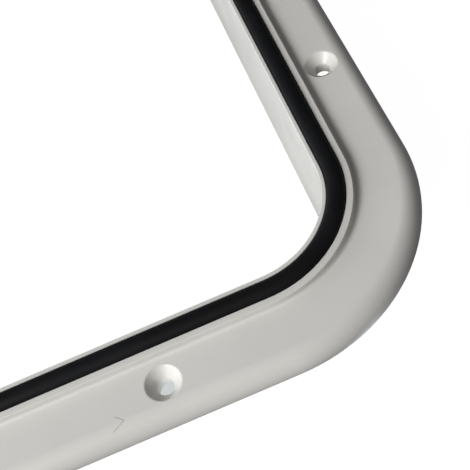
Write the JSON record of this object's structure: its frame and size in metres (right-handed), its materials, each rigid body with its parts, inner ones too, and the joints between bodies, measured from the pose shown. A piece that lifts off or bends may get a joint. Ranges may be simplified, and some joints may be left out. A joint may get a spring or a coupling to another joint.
{
  "type": "opening porthole",
  "caption": "Opening porthole with a moulded plastic frame, rubber rim seal and a hinged acrylic lid held shut by quarter-turn handles.",
  "frame": {"origin": "middle of the opening, on the seating plane under the flange", "axes": "+Z out of the hull into the cabin, +X along the long side, +Y towards the hinge side"},
  "size_m": [0.4, 0.3148, 0.2617],
  "materials": {
    "frame_plastic": "satin moulded pale grey",
    "black_rubber": "smooth black extrusion",
    "smoked_acrylic": "polished smoked transparent acrylic",
    "stainless": "satin stainless",
    "handle_nylon": "fine textured charcoal",
    "bush_nylon": "natural nylon"
  },
  "bodies": {
    "frame": {"main_frame": "frame_plastic", "rim_seal": "black_rubber", "keeper_left": "stainless", "keeper_screws_left": "stainless", "hinge_pin_left": "stainless", "hinge_clip_left": "stainless", "keeper_right": "stainless", "keeper_screws_right": "stainless", "hinge_pin_right": "stainless", "hinge_clip_right": "stainless"},
    "lid": {"pane": "smoked_acrylic", "hinge_strap_left": "frame_plastic", "hinge_bushes_left": "bush_nylon", "hinge_gasket_left": "black_rubber", "hinge_backing_left": "stainless", "hinge_bolts_left": "stainless", "handle_base_left": "handle_nylon", "base_washer_left": "black_rubber", "base_nut_left": "handle_nylon", "hinge_strap_right": "frame_plastic", "hinge_bushes_right": "bush_nylon", "hinge_gasket_right": "black_rubber", "hinge_backing_right": "stainless", "hinge_bolts_right": "stainless", "handle_base_right": "handle_nylon", "base_washer_right": "black_rubber", "base_nut_right": "handle_nylon"},
    "handle_left": {"handle_lever_left": "handle_nylon", "handle_cap_left": "frame_plastic", "spindle_left": "stainless", "spindle_ring_left": "black_rubber", "latch_cam_left": "stainless", "cam_washer_left": "stainless", "cam_screw_left": "stainless"},
    "handle_right": {"handle_lever_right": "handle_nylon", "handle_cap_right": "frame_plastic", "spindle_right": "stainless", "spindle_ring_right": "black_rubber", "latch_cam_right": "stainless", "cam_washer_right": "stainless", "cam_screw_right": "stainless"}
  },
  "joints": [
    {"name": "lid_hinge", "type": "hinge", "parent": "frame", "child": "lid", "pos_m": [0, 0.115, 0.0153], "axis": [1, 0, 0], "range_deg": [0, 105]},
    {"name": "handle_left_turn", "type": "hinge", "parent": "lid", "child": "handle_left", "pos_m": [-0.1, 0.16679, 0.20858], "axis": [0, -0.9659, 0.2588], "range_deg": [0, 90]},
    {"name": "handle_right_turn", "type": "hinge", "parent": "lid", "child": "handle_right", "pos_m": [0.1, 0.16679, 0.20858], "axis": [0, 0.9659, -0.2588], "range_deg": [0, 90]}
  ]
}
